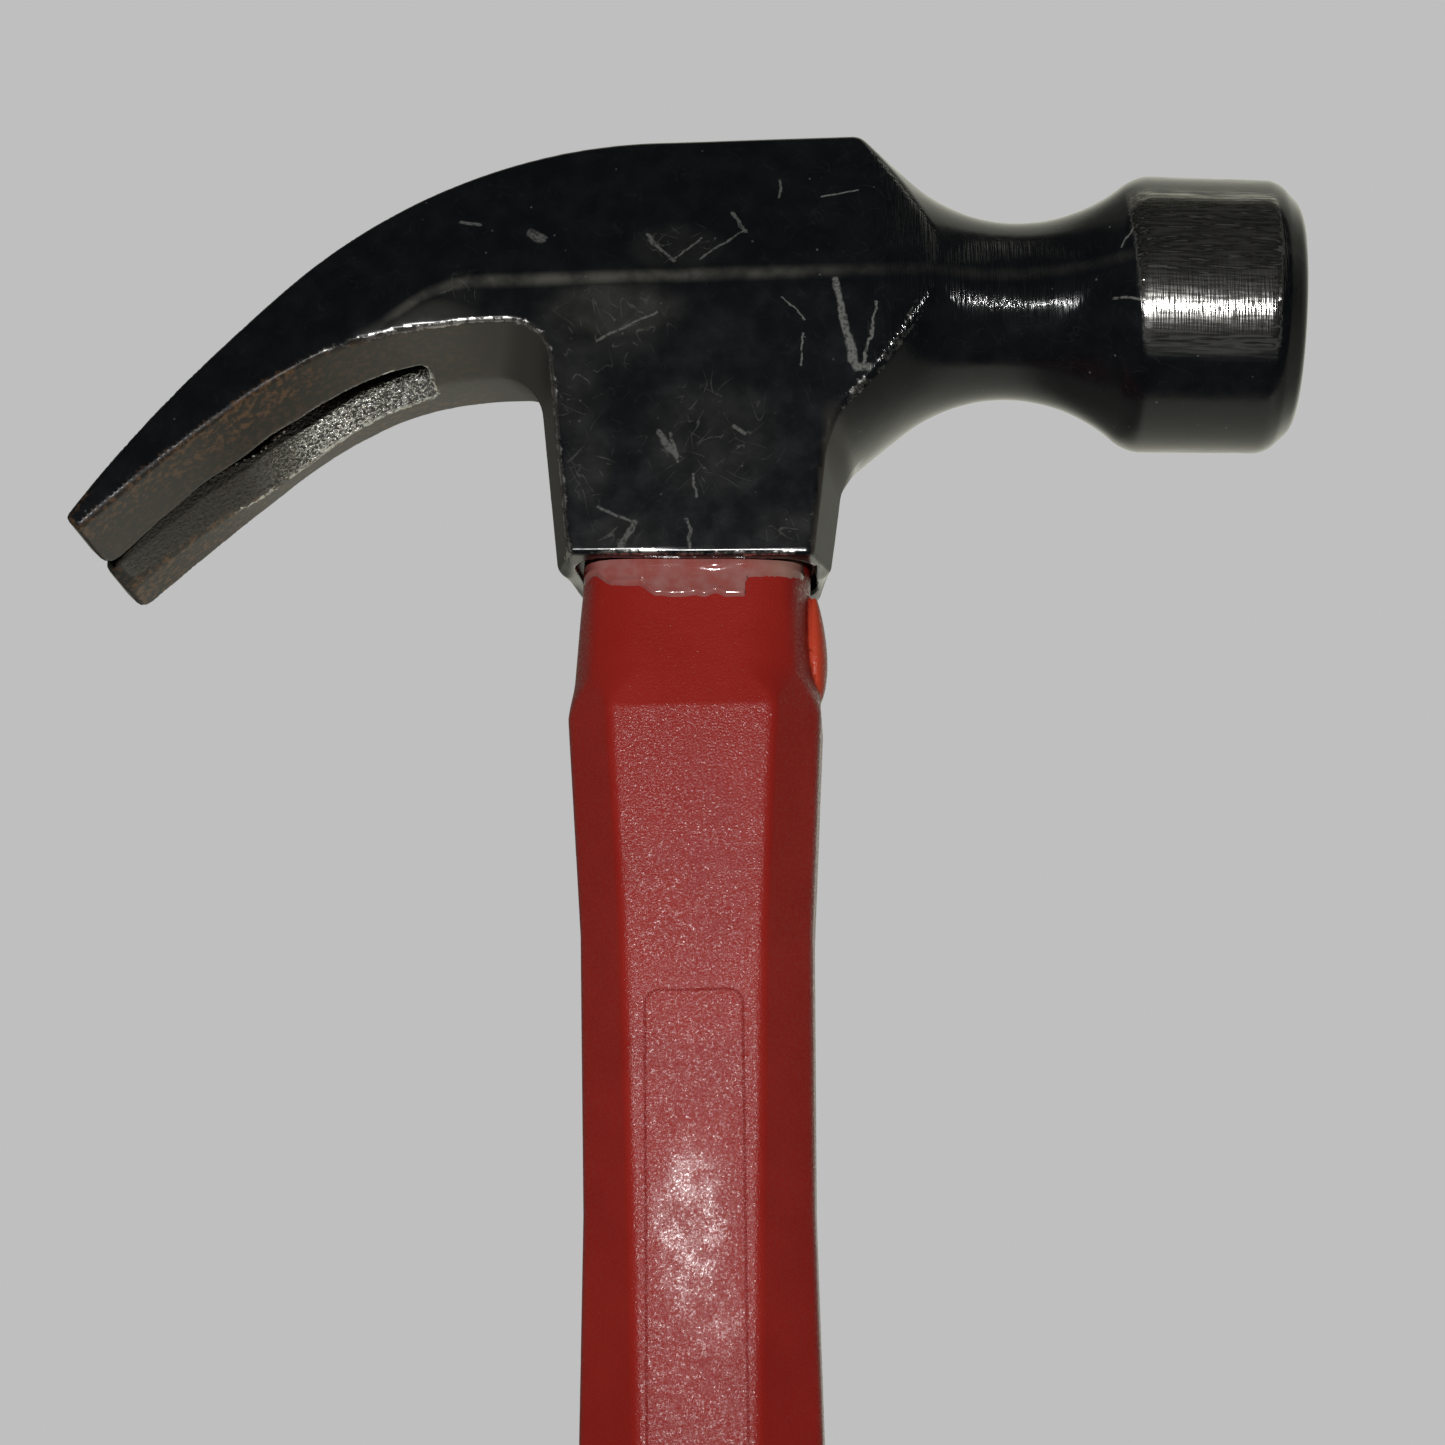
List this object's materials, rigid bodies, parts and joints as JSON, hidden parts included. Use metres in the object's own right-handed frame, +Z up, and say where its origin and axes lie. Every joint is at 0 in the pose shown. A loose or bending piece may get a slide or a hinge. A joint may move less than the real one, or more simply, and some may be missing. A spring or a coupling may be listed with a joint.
{
  "type": "claw hammer",
  "caption": "Curved-claw hammer with a forged steel head, an angled nail slot, a red jacketed fibreglass handle and a black rubber grip.",
  "frame": {"origin": "middle of the grip's flat butt end, on the handle's axis", "axes": "+Z up the handle to the head, +X towards the striking face (claws towards -X), +Y across the head's thickness"},
  "size_m": [0.1295, 0.0294, 0.33],
  "materials": {
    "forged_steel": "black oxide over forged steel, brushed bright on the bell, scratched and rubbed, rust at the claws",
    "fibreglass": "pultruded fibreglass rod",
    "red_jacket": "moulded red jacket, stippled flats and smoother bevels",
    "cast_resin": "translucent pinkish casting resin",
    "black_rubber": "matt moulded rubber with grooves"
  },
  "bodies": {
    "root": {"head": "forged_steel", "core_rod": "fibreglass", "handle_jacket": "red_jacket", "eye_resin": "cast_resin", "resin_run": "cast_resin", "grip": "black_rubber"}
  },
  "joints": []
}
